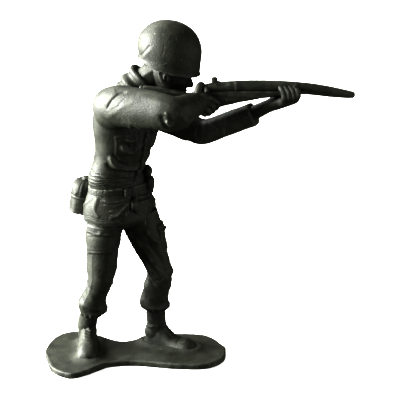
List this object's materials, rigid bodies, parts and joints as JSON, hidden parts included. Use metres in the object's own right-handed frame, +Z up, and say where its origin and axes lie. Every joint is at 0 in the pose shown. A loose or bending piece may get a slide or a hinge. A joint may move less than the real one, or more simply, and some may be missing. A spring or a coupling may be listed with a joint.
{
  "type": "toy soldier figurine",
  "caption": "Moulded plastic rifleman figurine standing and aiming a rifle on a flat dog-bone base, with helmet, belt, canteen and pouch.",
  "frame": {"origin": "centre of the base's underside, midway along the base's length and width", "axes": "+X the way the rifle points and along the base's length, +Z up out of the base, -Y the soldier's right-hand side, which is the side seen best"},
  "size_m": [0.1306, 0.0484, 0.148],
  "materials": {
    "olive_plastic": "dark olive green moulded polyethylene, satin, with scuffs"
  },
  "bodies": {
    "root": {"base": "olive_plastic", "right_boot": "olive_plastic", "left_boot": "olive_plastic", "trouser_seat": "olive_plastic", "right_trouser_leg": "olive_plastic", "left_trouser_leg": "olive_plastic", "jacket_skirt": "olive_plastic", "rifle_stock": "olive_plastic", "rifle_receiver": "olive_plastic", "rear_sight": "olive_plastic", "rifle_handguard": "olive_plastic", "rifle_barrel": "olive_plastic", "trigger_guard": "olive_plastic", "head": "olive_plastic", "helmet": "olive_plastic", "collar": "olive_plastic", "chin_strap": "olive_plastic", "jacket_body": "olive_plastic", "right_sleeve": "olive_plastic", "left_sleeve": "olive_plastic", "right_hand": "olive_plastic", "left_hand": "olive_plastic", "belt": "olive_plastic", "belt_buckle": "olive_plastic", "canteen": "olive_plastic", "canteen_cap": "olive_plastic", "ammo_pouch": "olive_plastic", "ammo_pouch_flap": "olive_plastic", "right_thigh_pocket": "olive_plastic", "left_thigh_pocket": "olive_plastic", "right_breast_pocket": "olive_plastic", "left_breast_pocket": "olive_plastic"}
  },
  "joints": []
}
